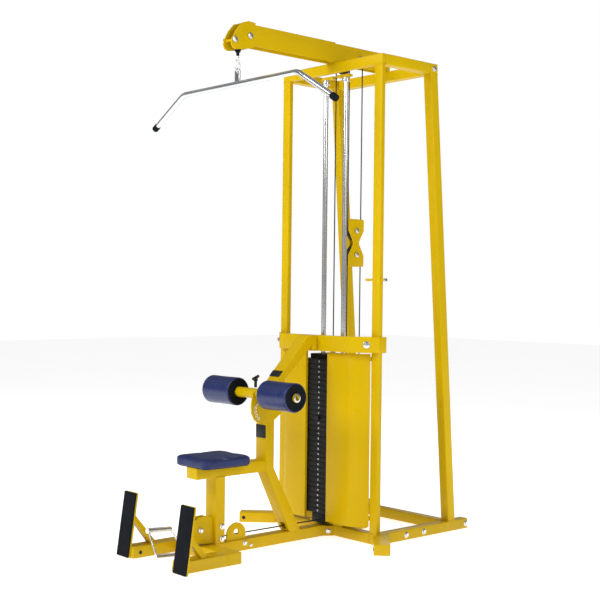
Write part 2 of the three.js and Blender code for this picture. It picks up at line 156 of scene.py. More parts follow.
def painted_steel():
    """Powder coat: broad tone changes, fine orange peel, small chips, and a darker, browner tone over the
    lowest 9 cm.
    """
    m, tree, p, place = shader("painted_steel", (0.66, 0.44, 0.0), 0.36, Specular_IOR_Level=0.14)
    tone = ramp(tree, noise(tree, place, 2.2), [(0.3, (0.64, 0.425, 0.0)), (0.7, (0.72, 0.475, 0.0))])
    chip = grey_ramp(tree, noise(tree, place, 75, 7), 0, 0.75, 0.735, 0.76)
    worn = ramp(tree, noise(tree, place, 9), [(0.0, (0.22, 0.12, 0.01)), (1.0, (0.30, 0.17, 0.02))])
    parts = tree.nodes.new("ShaderNodeSeparateXYZ")
    tree.links.new(place, parts.inputs["Vector"])
    # darker, browner colour towards the floor: up to 22% at the floor, fading out by 9 cm up
    near_floor_mask = grey_ramp(tree, parts.outputs["Z"], 0.22, 0.0, 0.0, 0.09)
    near_floor_colour = ramp(tree, noise(tree, place, 30), [(0.2, (0.40, 0.25, 0.04)), (0.8, (0.50, 0.31, 0.06))])
    colour = mix(tree, near_floor_mask, mix(tree, chip, tone, worn), near_floor_colour)
    tree.links.new(colour, p.inputs["Base Color"])
    tree.links.new(grey_ramp(tree, noise(tree, place, 14), 0.27, 0.42), p.inputs["Roughness"])
    bump(tree, p, noise(tree, place, 420, 2), 0.00012)
    return m


def grained(name, dark, light, rough, cell, depth, **inputs):
    """A moulded or coated skin: cells for the grain, with slow changes of tone and gloss."""
    m, tree, p, place = shader(name, dark, rough, **inputs)
    tree.links.new(ramp(tree, noise(tree, place, 6), [(0.3, dark), (0.7, light)]), p.inputs["Base Color"])
    gloss = grey_ramp(tree, noise(tree, place, 22), rough - 0.07, rough + 0.07)
    tree.links.new(gloss, p.inputs["Roughness"])
    cells = tree.nodes.new("ShaderNodeTexVoronoi")
    cells.inputs["Scale"].default_value = cell
    tree.links.new(place, cells.inputs["Vector"])
    bump(tree, p, cells.outputs["Distance"], depth)
    return m


def chromed_steel():
    """Polished chrome with faint wiping marks."""
    m, tree, p, place = shader("chromed_steel", (0.80, 0.81, 0.83), 0.1, 1.0)
    tone = ramp(tree, noise(tree, place, 5), [(0.3, (0.72, 0.73, 0.75)), (0.7, (0.86, 0.87, 0.88))])
    tree.links.new(tone, p.inputs["Base Color"])
    marks = noise(tree, place, 18, 3, (1, 1, 0.25))
    tree.links.new(grey_ramp(tree, marks, 0.12, 0.2), p.inputs["Roughness"])
    return m


MATERIALS = {
    "painted_steel": painted_steel(),
    "chromed_steel": chromed_steel(),
    "navy_vinyl": grained("navy_vinyl", (0.009, 0.018, 0.095), (0.014, 0.027, 0.13), 0.40, 620, 0.00030,
                          Specular_IOR_Level=0.4),
    "navy_foam": grained("navy_foam", (0.009, 0.018, 0.095), (0.014, 0.027, 0.13), 0.30, 900, 0.00012),
    "grip_rubber": grained("grip_rubber", (0.006, 0.008, 0.011), (0.011, 0.013, 0.017), 0.85, 480, 0.0001,
                           Specular_IOR_Level=0.1),
    "coated_cable": grained("coated_cable", (0.012, 0.012, 0.013), (0.024, 0.024, 0.026),
                            0.42, 700, 0.0001),
    "black_iron": grained("black_iron", (0.005, 0.006, 0.006), (0.010, 0.011, 0.012), 0.55, 260, 0.0001,
                          Specular_IOR_Level=0.25),
    "black_plastic": grained("black_plastic", (0.007, 0.008, 0.009), (0.013, 0.014, 0.016),
                             0.42, 800, 0.00015, Specular_IOR_Level=0.3),
}


# ---- mesh tools ----
class Shape:
    """Vertices and faces gathered from several closed forms."""

    def __init__(self):
        self.verts, self.faces = [], []

    def add(self, verts, faces):
        first = len(self.verts)
        self.verts += [Vector(v) for v in verts]
        self.faces += [[first + i for i in face] for face in faces]
        return self

    def lathe(self, profile, centre, axis, segments=48):
        """Turns (radius, height) points about axis. A profile that starts off the axis is closed."""
        axis = Vector(axis).normalized()
        u = axis.orthogonal().normalized()
        v = axis.cross(u)
        verts, rings = [], []
        for radius, height in profile:
            if radius < 1e-7:
                rings.append([len(verts)] * segments)
                verts.append(Vector(centre) + axis * height)
                continue
            rings.append([len(verts) + i for i in range(segments)])
            for i in range(segments):
                a = 2 * math.pi * i / segments
                verts.append(Vector(centre) + axis * height + (u * math.cos(a) + v * math.sin(a)) * radius)
        pairs = list(zip(rings, rings[1:]))
        if profile[0][0] > 1e-7:
            pairs.append((rings[-1], rings[0]))
        faces = []
        for a, b in pairs:
            for i in range(segments):
                j = (i + 1) % segments
                corners = [a[i], a[j], b[j], b[i]]
                face = [c for k, c in enumerate(corners) if c not in corners[:k]]
                if len(face) > 2:
                    faces.append(face)
        return self.add(verts, faces)

    def sweep(self, points, radius, sides=16, closed=False, ripple=None):
        """A round tube along points. ripple(distance, angle) scales the radius."""
        points = [Vector(p) for p in points]
        count = len(points)
        along = []
        for i in range(count):
            back = points[i - 1] if closed or i else points[0]
            ahead = points[(i + 1) % count] if closed or i < count - 1 else points[-1]
            along.append((ahead - back).normalized())
        u = along[0].orthogonal().normalized()
        verts, distance = [], 0.0
        for i, point in enumerate(points):
            u = (u - along[i] * u.dot(along[i])).normalized()
            v = along[i].cross(u)
            distance += (point - points[i - 1]).length if i else 0
            for k in range(sides):
                a = 2 * math.pi * k / sides
                r = radius * (ripple(distance, a) if ripple else 1)
                verts.append(point + (u * math.cos(a) + v * math.sin(a)) * r)
        faces = []
        for i in range(count if closed else count - 1):
            for k in range(sides):
                j, n = (k + 1) % sides, (i + 1) % count
                faces.append([i * sides + k, i * sides + j, n * sides + j, n * sides + k])
        if not closed:
            faces.append(list(reversed(range(sides))))
            faces.append([(count - 1) * sides + k for k in range(sides)])
        return self.add(verts, faces)

    def block(self, low, high, turn=None):
        """A box between two corners. turn is a matrix applied to it."""
        corners = [Vector((x, y, z)) for x in (low[0], high[0])
                   for y in (low[1], high[1]) for z in (low[2], high[2])]
        if turn:
            corners = [turn @ c for c in corners]
        sides = [(0, 1, 3, 2), (4, 6, 7, 5), (0, 4, 5, 1), (2, 3, 7, 6), (0, 2, 6, 4), (1, 5, 7, 3)]
        return self.add(corners, sides)

    def bolt(self, place, axis, r=BOLT_R):
        """A washer under a chamfered hex head."""
        washer = [(0, 0), (1.45 * r, 0), (1.5 * r, 0.0006), (1.5 * r, 0.0018)]
        washer += [(1.4 * r, WASHER), (0, WASHER)]
        self.lathe(washer, place, axis, 32)
        head = [(0, 0), (r, 0), (r, 0.6 * r), (0.84 * r, 0.74 * r), (0, 0.74 * r)]
        return self.lathe(head, Vector(place) + Vector(axis).normalized() * WASHER, axis, 6)

    def object(self, name, edge=0.0, smooth=35, segments=2):
        """The gathered forms as one object, with edges sharper than smooth degrees rounded by edge."""
        bm = bmesh.new()
        verts = [bm.verts.new(v) for v in self.verts]
        for face in self.faces:
            bm.faces.new([verts[i] for i in face])
        return finished(bm, name, edge, smooth, segments)


def finished(bm, name, edge, smooth=35, segments=2):
    bmesh.ops.remove_doubles(bm, verts=bm.verts, dist=1e-6)
    bmesh.ops.recalc_face_normals(bm, faces=bm.faces)
    if edge:
        turn = math.radians(smooth)
        sharp = [e for e in bm.edges if len(e.link_faces) == 2
                 and e.calc_face_angle(0) > turn and e.calc_length() > 2.5 * edge]
        bmesh.ops.bevel(bm, geom=sharp, offset=edge, segments=segments, profile=0.5, affect="EDGES",
                        clamp_overlap=True)
    mesh = bpy.data.meshes.new(name)
    bm.to_mesh(mesh)
    bm.free()
    mesh.shade_smooth()
    mesh.set_sharp_from_angle(angle=math.radians(smooth))
    thing = bpy.data.objects.new(name, mesh)
    bpy.context.collection.objects.link(thing)
    return thing


def place(thing, body, slot, *nodes):
    """thing takes the slot's material, rides on body and stands for the CAD nodes."""
    thing.data.materials.clear()
    thing.data.materials.append(MATERIALS[slot])
    if body:
        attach(thing, body)
    if nodes:
        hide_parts(*nodes)
    return thing


def middle(node):
    low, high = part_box(node)
    return (low + high) / 2


# ---- tubes and plates ----
TUBE_EDGE, SHEET_EDGE = 0.004, 0.0009
PLATE_EDGE, BEAM_EDGE = 0.0015, 0.0025
EDGES = {node: edge for edge, nodes in (
    (SHEET_EDGE, ("arm", "block_plates", "low_bracket", "shroud_left", "shroud_right")),
    (PLATE_EDGE, ("roller_arm", "foot_rail_left", "foot_rail_right", "foot_grip_left", "foot_grip_right")),
    (BEAM_EDGE, ("base_spine", "seat_frame"))) for node in nodes}


def refine_nodes():
    """Copies of the painted tubes and plates and of the foot grips, with rounded edges."""
    for node, slot in SLOT_OF.items():
        if slot != "painted_steel" and not node.startswith("foot_grip"):
            continue
        source = frame["nodes"][node].data
        bm = bmesh.new()
        verts = [bm.verts.new(v.co) for v in source.vertices]
        for polygon in source.polygons:
            bm.faces.new([verts[i] for i in polygon.vertices])
        bmesh.ops.remove_doubles(bm, verts=bm.verts, dist=1e-6)
        bmesh.ops.dissolve_limit(bm, angle_limit=math.radians(0.8), verts=bm.verts, edges=bm.edges)
        thing = finished(bm, node + "_shell", EDGES.get(node, TUBE_EDGE), 35, 3)
        place(thing, BODY_OF[node], slot, node)


def weld(shape, corners, closed=True):
    """A rippled weld bead along corners."""
    step, points = 0.003, []
    ends = corners[1:] + corners[:1] if closed else corners[1:]
    for a, b in zip(corners, ends):
        a, b = Vector(a), Vector(b)
        count = max(2, int((b - a).length / step))
        points += [a.lerp(b, i / count) for i in range(count)]
    shape.sweep(points, 0.0028, 8, closed, lambda s, a: 1 + 0.16 * math.sin(s / 0.0016))


def collar(low, high, z):
    """Corners of a level rectangle."""
    return [(low.x, low.y, z), (high.x, low.y, z), (high.x, high.y, z), (low.x, high.y, z)]


def make_welds():
    beads = Shape()
    for side in SIDES:
        low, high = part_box(f"rear_leg_{side}")
        up_low, up_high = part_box("top_front_tube")
        x0, x1 = low.x, high.x
        for z in (low.z, high.z):
            a = Vector((x0, up_low.y, z))
            b = Vector((x1, up_high.y, z))
            weld(beads, collar(a, b, z))
        depth = up_high.y - up_low.y
        for z, y in ((high.z, low.y), (low.z, high.y - 2 * depth)):
            weld(beads, collar(Vector((x0, y, z)), Vector((x1, y + 2 * depth, z)), z))
    beam_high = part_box("seat_frame")[1]
    half = WIDE_TUBE
    y, z1 = beam_high.y, beam_high.z
    weld(beads, [(-half, y, z1 - 0.05), (half, y, z1 - 0.05), (half, y, z1), (-half, y, z1)])
    post_y0, post_y1 = POST_Y
    for z in (z1 - 0.05, 0.05):
        weld(beads, collar(Vector((-half, post_y0, z)), Vector((half, post_y1, z)), z))
    place(beads.object("weld_beads"), "frame", "painted_steel")


# ---- small fittings on the frame ----
POST_BACK, POST_DEPTH = 0.2377, 0.05
POST_Y = (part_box("seat_frame")[1].y - POST_BACK - POST_DEPTH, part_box("seat_frame")[1].y - POST_BACK)
SPINE_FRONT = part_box("base_spine")[0].y
TUBE_X = 0.35
HALF_SQUARE = math.sqrt(0.5)


def make_bolts():
    bolts = Shape()
    head = middle("pulley_head")
    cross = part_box("mid_crossbar")
    spine_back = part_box("base_spine")[1].y
    low_rear, low_front = middle("pulley_low_rear"), middle("pulley_low_front")
    for s in (-1, 1):
        for node in ("pulley_arm_front", "pulley_arm_rear"):
            c = middle(node)
            bolts.bolt((s * 0.036, c.y, c.z), X * s, 0.0085)
        bolts.bolt((s * 0.036, head.y, head.z), X * s)
        bolts.bolt((s * 0.036, head.y - 0.089, head.z - 0.029), X * s)
        bolts.bolt((s * 0.310, cross[0].y + 0.0598, 0.938), (0.639 * s, -0.769, 0), 0.011)
        bolts.bolt((s * 0.045, spine_back - 0.0215, 0.024), (0.818 * s, -0.575, 0), 0.008)
        bolts.bolt((s * 0.030, SPINE_FRONT + 0.124, 0.034), X * s, 0.008)
        bolts.bolt((s * 0.030, SPINE_FRONT + 0.160, 0.020), X * s, 0.006)
        for z in (0.127, 0.073):
            bolts.bolt((s * WIDE_TUBE, POST_Y[1] - 0.014, z), X * s, 0.0088)
        bolts.bolt((s * 0.022, low_rear.y, low_rear.z), X * s, 0.0085)
        bolts.bolt((s * 0.024, low_front.y, low_front.z), X * s, 0.0085)
    for side, s in SIDES.items():
        low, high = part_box(f"base_side_{side}")
        for share in (0.31, 0.5, 0.976):
            bolts.bolt((s * TUBE_X, low.y + (high.y - low.y) * share, 0.025), X * s)
        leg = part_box(f"rear_leg_{side}")[0]
        bolts.bolt((s * TUBE_X, leg.y + 0.025, 2.275), X * s)
    place(bolts.object("frame_bolts", 0.0006), "frame", "chromed_steel")
    moving = Shape()
    for node in ("pulley_block_upper", "pulley_block_lower"):
        for s in (-1, 1):
            moving.bolt((s * 0.022, middle(node).y, middle(node).z), X * s, 0.0085)
    place(moving.object("block_bolts", 0.0006), "block", "chromed_steel")


def make_plugs():
    """Round black plugs in the feet and rails, and the two bumpers on the mast."""
    plugs = Shape()
    dome = [(0, -0.001), (0.0085, -0.001), (0.0085, 0.0008), (0.0065, 0.0022), (0, 0.0026)]
    for side, s in SIDES.items():
        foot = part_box(f"foot_{side}")
        tip = Vector((s * 0.4803, foot[0].y, 0.024))
        inward = Vector((-s, 1, 0)) * HALF_SQUARE
        plugs.lathe(dome, tip + inward * 0.022, (-s * HALF_SQUARE, -HALF_SQUARE, 0), 32)
        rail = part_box(f"foot_rail_{side}")
        plugs.lathe(dome, (s * 0.145, rail[0].y + 0.046, 0.024), -X * s, 32)
    mast_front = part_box("mast")[0].y
    plugs.block((-0.0335, mast_front - 0.0035, 0.503), (0.0335, mast_front + 0.001, 0.563))
    slope = math.atan2(0.275, 0.256)
    spot = Matrix.Translation((0, mast_front + 0.089, 0.7956)) @ Matrix.Rotation(slope, 4, "X")
    plugs.block((-0.0335, -0.017, -0.001), (0.0335, 0.017, 0.0045), spot)
    place(plugs.object("plugs_and_bumpers", 0.0008), "frame", "black_plastic")


def make_peg_cap():
    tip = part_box("upright_right")[1].x
    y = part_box("top_front_tube")[0].y + 0.012
    profile = [(0, 0), (0.0068, 0), (0.0072, 0.001), (0.0072, 0.012), (0, 0.012)]
    cap = Shape().lathe(profile, (tip - 0.0105, y, 1.242), X)
    place(cap.object("peg_cap"), "frame", "chromed_steel")


# ---- cables ----
def strands(distance, angle):
    return 1 + 0.035 * math.cos(6 * angle + distance * 420)


def arc(node, start, end, steps=36):
    c = middle(node)
    angles = [math.radians(start + (end - start) * i / steps) for i in range(steps + 1)]
    return [Vector((0, c.y + WRAP_R * math.cos(a), c.z + WRAP_R * math.sin(a))) for a in angles]


def line(a, b, step=0.006):
    a, b = Vector(a), Vector(b)
    count = max(4, int((b - a).length / step))
    return [a.lerp(b, i / count) for i in range(count + 1)]


def cable(node, points):
    return place(Shape().sweep(points, CABLE_R, 12, False, strands).object(node + "_rope"),
                 BODY_OF[node], "coated_cable", node)


def stretching_cable(node, fixed, free):
    """A straight run from the fixed end to the free end, baked in place and not attached to any body."""
    rope = Shape().sweep(line(fixed, free), CABLE_R, 12, False, strands).object(node + "_rope")
    place(rope, None, "coated_cable", node)
    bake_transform(rope)


def make_cables():
    cable("cable_arm", arc("pulley_head", 180, 90) + arc("pulley_arm_rear", 90, 0))
    cable("cable_arm_wrap", arc("pulley_arm_front", 180, 0))
    cable("cable_loop_upper", arc("pulley_block_upper", -180, 0))
    cable("cable_loop_lower", arc("pulley_block_lower", 180, 0))
    rise = math.degrees(ROW_RISE)
    cable("cable_low_run", arc("pulley_low_rear", 0, -90) + arc("pulley_low_front", -90, -90 - rise, 6))
    for node, body, down in (("cable_bar", "bar_line", True), ("cable_stem", "stack", True),
                             ("cable_block_front", "block", True), ("cable_block_rear", "block", True),
                             ("cable_low_front", "block", False), ("cable_low_rear", "block", False)):
        low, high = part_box(node)
        y = (low.y + high.y) / 2
        ends = [(0, y, high.z), (0, y, low.z)]
        if not down:
            ends.reverse()
        stretching_cable(node, ends[0], ends[1])
    stretching_cable("cable_row", row_point(0.0003), row_point(0.058))


def row_point(distance, x=0.0, below=0.0):
    """A point on the row cable's line, distance out from the pulley, moved sideways and below it."""
    c = middle("pulley_low_front")
    n, k = math.sin(ROW_RISE), math.cos(ROW_RISE)
    y = c.y - WRAP_R * n - k * distance - n * below
    z = c.z - WRAP_R * k + n * distance - k * below
    return Vector((x, y, z))


# ---- pulleys ----
PULLEYS = [node for node in SLOT_OF if node.startswith("pulley_")]


def make_pulleys():
    """Nylon wheel with a rope groove, a recessed ribbed web and a steel bearing."""
    outer, half, web = 0.0475, 0.009, 0.0045
    groove = WRAP_R - CABLE_R - 0.0005
    curve = [(groove + (outer - groove) * (1 - math.cos(t)), -0.0052 + 0.0104 * i / 8)
             for i in range(9) for t in [math.pi / 2 * abs(i - 4) / 4]]
    side = [(0.0125, half), (0.0165, half), (0.0175, web), (0.0355, web), (0.0375, half),
            (outer - 0.0008, half), (outer, half - 0.0008)]
    profile = [(r, -h) for r, h in side] + curve + side[::-1]
    for node in PULLEYS:
        c = middle(node)
        wheel = Shape().lathe(profile, c, X, 96)
        for i in range(6):
            spin = Matrix.Translation(c) @ Matrix.Rotation(i * math.pi / 3, 4, "X")
            wheel.block((-0.0075, -0.0016, 0.0165), (0.0075, 0.0016, 0.0368), spin)
        place(wheel.object(node + "_wheel"), BODY_OF[node], "black_plastic", node)
        ring = [(0.0072, -0.0085), (0.0122, -0.0085), (0.0122, 0.0085), (0.0072, 0.0085)]
        bearing = Shape().lathe(ring, c, X, 48).object(node + "_bearing", 0.0004)
        place(bearing, BODY_OF[node], "chromed_steel")


# ---- weight stack ----
def plate_curve(low, high):
    """One plate's mesh: a rounded rectangle with holes for the rods and the stem."""
    data = bpy.data.curves.new("plate", "CURVE")
    data.dimensions, data.fill_mode = "2D", "BOTH"
    data.extrude, data.bevel_depth, data.bevel_resolution = PITCH / 2 - 0.0016, 0.001, 2
    corner, outline = 0.008, []
    shrink = 0.001
    for cx, cy, start in ((high.x - corner, high.y - corner, 0), (low.x + corner, high.y - corner, 90),
                          (low.x + corner, low.y + corner, 180), (high.x - corner, low.y + corner, 270)):
        for i in range(7):
            a = math.radians(start + 15 * i)
            outline.append((cx + (corner - shrink) * math.cos(a), cy + (corner - shrink) * math.sin(a)))
    rings = [outline]
    stem_y = middle("cable_stem").y
    for x, r in ((-ROD_X, 0.0135), (ROD_X, 0.0135), (0, 0.0123)):
        turn = [2 * math.pi * i / 28 for i in range(28)]
        rings.append([(x + (r + shrink) * math.cos(a), stem_y + (r + shrink) * math.sin(a)) for a in turn])
    for ring in rings:
        spline = data.splines.new("POLY")
        spline.points.add(len(ring) - 1)
        for point, (x, y) in zip(spline.points, ring):
            point.co = (x, y, 0, 1)
        spline.use_cyclic_u = True
    thing = bpy.data.objects.new("plate", data)
    bpy.context.collection.objects.link(thing)
    bpy.context.view_layer.update()
    mesh = bpy.data.meshes.new_from_object(thing.evaluated_get(bpy.context.evaluated_depsgraph_get()))
    bpy.data.objects.remove(thing)
    return mesh


def make_plates():
    for node in ("stack_lower", "stack_upper"):
        low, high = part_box(node)
        mesh = plate_curve(low, high)
        verts = [v.co.copy() for v in mesh.vertices]
        faces = [list(p.vertices) for p in mesh.polygons]
        plates, dots = Shape(), Shape()
        count = round((high.z - low.z) / PITCH)
        for i in range(count):
            z = low.z - 0.0005 + (i + 0.5) * PITCH
            plates.add([v + Z * z for v in verts], faces)
            if node == "stack_lower" or i > 0:
                ring = [(0.0026, 0), (0.0042, 0), (0.0042, 0.0005), (0.0038, 0.0008), (0.0026, 0.0008)]
                dots.lathe(ring, (0, low.y, z), -Y, 24)
        place(plates.object(node + "_plates"), BODY_OF[node], "black_iron", node)
        place(dots.object(node + "_pin_holes"), BODY_OF[node], "chromed_steel")


def make_rods():
    low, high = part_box("guide_rods")
    stack_low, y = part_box("stack_lower")[0], middle("cable_stem").y
    rods, mounts, buffers = Shape(), Shape(), Shape()
    for x in (-ROD_X, ROD_X):
        rod = [(0, 0.055), (0.0115, 0.055), (0.012, 0.0555), (0.012, 2.2375), (0.0115, 2.238), (0, 2.238)]
        rods.lathe(rod, (x, y, 0), Z, 48)
        for z in (0.061, 2.206):
            ring = [(0.0121, 0), (0.019, 0), (0.02, 0.001), (0.02, 0.015), (0.019, 0.016), (0.0121, 0.016)]
            rods.lathe(ring, (x, y, z), Z, 48)
        cup = [(0.0122, 0.078), (0.023, 0.078), (0.024, 0.080), (0.0225, 0.090), (0.024, 0.099),
               (0.0235, stack_low.z - 0.0012), (0.0122, stack_low.z - 0.0012)]
        buffers.lathe(cup, (x, y, 0), Z, 48)
    mounts.block((low.x, low.y, 0.0503), (high.x, high.y, 0.0608))
    for x0, x1 in ((-0.095, -0.012), (0.012, 0.095)):
        mounts.block((x0, y - 0.0134, 2.23), (x1, y + 0.02, 2.242))
    place(rods.object("guide_rod_set", 0.0008), "frame", "chromed_steel", "guide_rods")
    place(mounts.object("rod_mounts", 0.0012), "frame", "painted_steel")
    place(buffers.object("stack_buffers"), "frame", "grip_rubber")
    # painted shade: a black block under the stack, between the buffers, standing in for the shade below
    # the stack
    rest = Shape().block((-0.044, stack_low.y + 0.004, 0.0612), (0.044, y - 0.028, stack_low.z - 0.0015))
    place(rest.object("under_stack_shade_block", 0.0015), "frame", "black_iron")


def make_stem():
    low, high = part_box("stack_stem")
    y, top = middle("cable_stem").y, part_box("stack_upper")[1].z + 0.0005
    rise, guide = 0.023, 0.0139
    stem = Shape().lathe([(0, low.z), (0.0105, low.z), (0.011, low.z + 0.0006), (0.011, top + 0.038),
                          (0.0085, top + 0.041), (0.0085, high.z - 0.001), (0.0075, high.z), (0, high.z)],
                         (0, y, 0), Z, 48)
    place(stem.object("lifting_stem"), "stack", "chromed_steel")
    plate = Shape()
    inner, outer = ROD_X - guide, ROD_X + guide
    for x0, x1 in ((low.x, -outer), (-inner, inner), (outer, high.x)):
        plate.block((x0, low.y, top), (x1, high.y, top + rise))
    for x0, x1 in ((-outer, -inner), (inner, outer)):
        plate.block((x0, low.y, top), (x1, y - guide, top + rise))
        plate.block((x0, y + guide, top), (x1, high.y, top + rise))
    place(plate.object("stack_head_plate"), "stack", "black_iron", "stack_stem")
    nut = Shape().bolt((0, y, top + rise), Z, 0.014)
    place(nut.object("stem_nut", 0.0006), "stack", "chromed_steel")


def make_pin():
    low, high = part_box("selector_pin")
    c = middle("selector_pin")
    knob = [(0, 0), (0.009, 0), (0.0115, 0.002), (0.012, 0.006), (0.0105, 0.0105)]
    knob += [(0.0065, 0.013), (0, 0.013)]
    head = Shape().lathe(knob, (0, low.y, c.z), Y, 48)
    place(head.object("selector_knob"), "pin", "black_plastic", "selector_pin")
    length = high.y - low.y
    rod = [(0, 0.0125), (0.005, 0.0125), (0.005, length - 0.002), (0.0035, length), (0, length)]
    shaft = Shape().lathe(rod, (0, low.y, c.z), Y, 32)
    place(shaft.object("selector_shaft"), "pin", "chromed_steel")


# ---- pulldown bar ----
def rounded_path(corners, bend, steps=12):
    """A polyline with each inner corner replaced by a curve that starts bend away from it."""
    corners = [Vector(c) for c in corners]
    points = [corners[0]]
    for before, corner, after in zip(corners, corners[1:], corners[2:]):
        a = corner + (before - corner).normalized() * bend
        b = corner + (after - corner).normalized() * bend
        for i in range(steps + 1):
            t = i / steps
            points.append(a * (1 - t) ** 2 + corner * 2 * t * (1 - t) + b * t * t)
    return points + [corners[-1]]


def knurl(distance, angle):
    return 1.02 + 0.018 * math.cos(24 * angle + distance * 1900) * math.cos(24 * angle - distance * 1900)


def make_bar():
    y, top = middle("lat_bar").y, 2.122
    elbow, tip = Vector((0.412, y, top)), Vector((0.648, y, 1.982))
    flip = Matrix.Diagonal((-1, 1, 1))
    path = rounded_path([flip @ tip, flip @ elbow, elbow, tip], 0.022)
    dense = []
    for a, b in zip(path, path[1:]):
        dense += line(a, b, 0.01)[:-1] if (b - a).length > 0.02 else [a]
    bar = Shape().sweep(dense + [path[-1]], BAR_R, 28).object("pulldown_bar")
    place(bar, "bar", "chromed_steel", "lat_bar")
    caps, sleeves = Shape(), Shape()
    for s in (-1, 1):
        side = Matrix.Diagonal((s, 1, 1))
        along = side @ (tip - elbow).normalized()
        cap = [(0, -0.0325), (0.0148, -0.0325), (0.0158, -0.0295), (0.0158, -0.005)]
        cap += [(0.0135, -0.001), (0, 0)]
        caps.lathe(cap, (s * 0.654, y, 1.9784), along, 40)
        points = line(side @ elbow.lerp(tip, 0.2), side @ elbow.lerp(tip, 0.84), 0.0012)
        sleeves.sweep(points, BAR_R, 96, False, knurl)
    place(caps.object("bar_end_caps"), "bar", "grip_rubber")
    place(sleeves.object("bar_knurling"), "bar", "chromed_steel")
    place(bar_lug(y).object("bar_lug", 0.0008), "bar", "chromed_steel")


def bar_lug(y):
    """A flat lug with a round top and a hole for the hook."""
    outer, hole, centre_z, foot_z, half, count = 0.0165, 0.0092, 2.1777, 2.131, 0.004, 40
    verts, faces = [], []
    for side in (y - half, y + half):
        for radius in (outer, hole):
            for i in range(count):
                a = 2 * math.pi * i / count
                c, s = math.cos(a), math.sin(a)
                px, pz = c * radius, s * radius
                if radius == outer and s < 0:
                    reach = 1 / max(abs(c), abs(s))
                    px, pz = c * reach * outer, s * reach * (centre_z - foot_z)
                verts.append((px, side, centre_z + pz))
    n = count
    for i in range(n):
        j = (i + 1) % n
        faces.append([i, j, n + j, n + i])
        faces.append([2 * n + i, 3 * n + i, 3 * n + j, 2 * n + j])
        faces.append([i, 2 * n + i, 2 * n + j, j])
        faces.append([n + i, n + j, 3 * n + j, 3 * n + i])
    return Shape().add(verts, faces)


def make_hook():
    c, centre_z = middle("cable_stop"), 2.205
    ring = []
    for i in range(72):
        a = 2 * math.pi * i / 72
        pear = 0.0115 - 0.0030 * math.sin(a)
        ring.append((0, c.y + pear * math.cos(a), centre_z + 0.0275 * math.sin(a)))
    hook = Shape().sweep(ring, 0.0034, 16, True)
    swivel = [(0, 2.2285), (0.0075, 2.2285), (0.008, 2.2295), (0.008, 2.240), (0.006, 2.243),
              (0.006, 2.2485), (0, 2.2490)]
    hook.lathe(swivel, (0, c.y, 0), Z, 40)
    sleeve = [(0.0036, -0.012), (0.0052, -0.011), (0.0052, 0.011), (0.0036, 0.012)]
    hook.lathe(sleeve, (0, c.y + 0.0115, centre_z), Z, 24)
    place(hook.object("spring_hook"), "hook", "chromed_steel", "snap_hook")
    stop = [(0, 2.2502), (0.0065, 2.2502), (0.007, 2.251), (0.007, 2.262)]
    for i in range(13):
        a = math.radians(-60 + 150 * i / 12)
        stop.append((0.0139 * math.cos(a), 2.275 + 0.0139 * math.sin(a)))
    ball = Shape().lathe(stop, (0, c.y, 0), Z, 48).object("stop_ball")
    place(ball, "bar_line", "grip_rubber", "cable_stop")


# ---- row handle ----
def make_handle():
    steel, grips = Shape(), Shape()
    steel.sweep(line(row_point(0.0585), row_point(0.104)), 0.0063, 24)
    x, below = 0.037, 0.050
    for s in (-1, 1):
        corners = [row_point(0.100), row_point(0.112, s * 0.6 * x, s * 0.6 * below),
                   row_point(0.124, s * x, s * below), row_point(0.243, s * x, s * below)]
        shank = rounded_path(corners, 0.008, 6)
        steel.sweep(shank, 0.0052, 16)
        tube = line(row_point(0.120, s * x, s * below), row_point(0.244, s * x, s * below), 0.0015)
        grips.sweep(tube, 0.0124, 32, False, lambda d, a: 1 - 0.03 * (math.sin(d * 1100) > 0.55))
    steel.sweep(line(row_point(0.237, -x, -below), row_point(0.237, x, below)), 0.004, 16)
    place(steel.object("row_handle_steel"), "handle", "chromed_steel", "row_handle")
    place(grips.object("row_handle_grips"), "handle", "chromed_steel")


